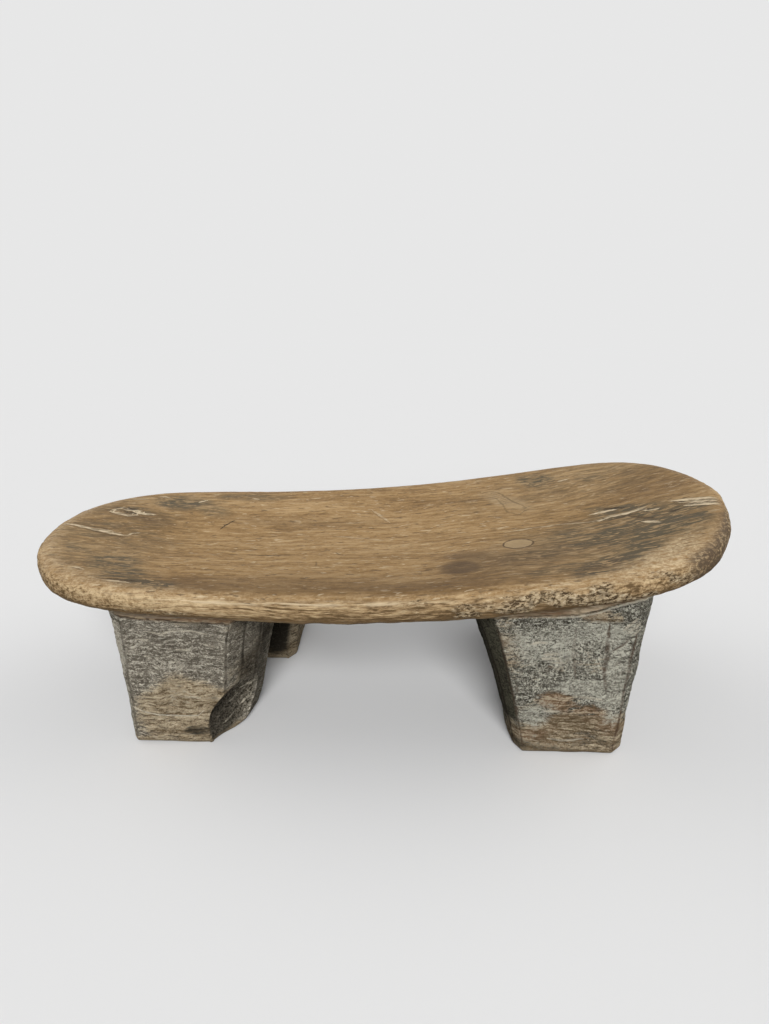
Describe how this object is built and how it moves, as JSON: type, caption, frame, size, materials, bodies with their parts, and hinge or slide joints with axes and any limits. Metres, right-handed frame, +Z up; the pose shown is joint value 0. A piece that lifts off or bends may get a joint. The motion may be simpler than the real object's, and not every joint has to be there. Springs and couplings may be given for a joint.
{
  "type": "low carved wooden stool",
  "caption": "Low carved wooden stool: a long dished seat, wider and higher at one end, on stout tapering legs cut with flat facets.",
  "frame": {"origin": "on the floor, under the middle of the seat's length and width", "axes": "+X along the seat towards its wider and higher end, +Y from the front legs to the back legs, +Z up"},
  "size_m": [0.5, 0.221, 0.1653],
  "materials": {
    "worn_seat_wood": "hand-carved hardwood worn smooth by use, warm brown with fine lengthwise grain, grey stains and a rougher, paler edge",
    "weathered_leg_wood": "weathered grey-brown hardwood, rough and speckled, with grain across the leg and browner, rubbed feet"
  },
  "bodies": {
    "root": {"seat": "worn_seat_wood", "leg_front_left": "weathered_leg_wood", "leg_front_right": "weathered_leg_wood", "leg_back_left": "weathered_leg_wood", "leg_back_right": "weathered_leg_wood"}
  },
  "joints": []
}
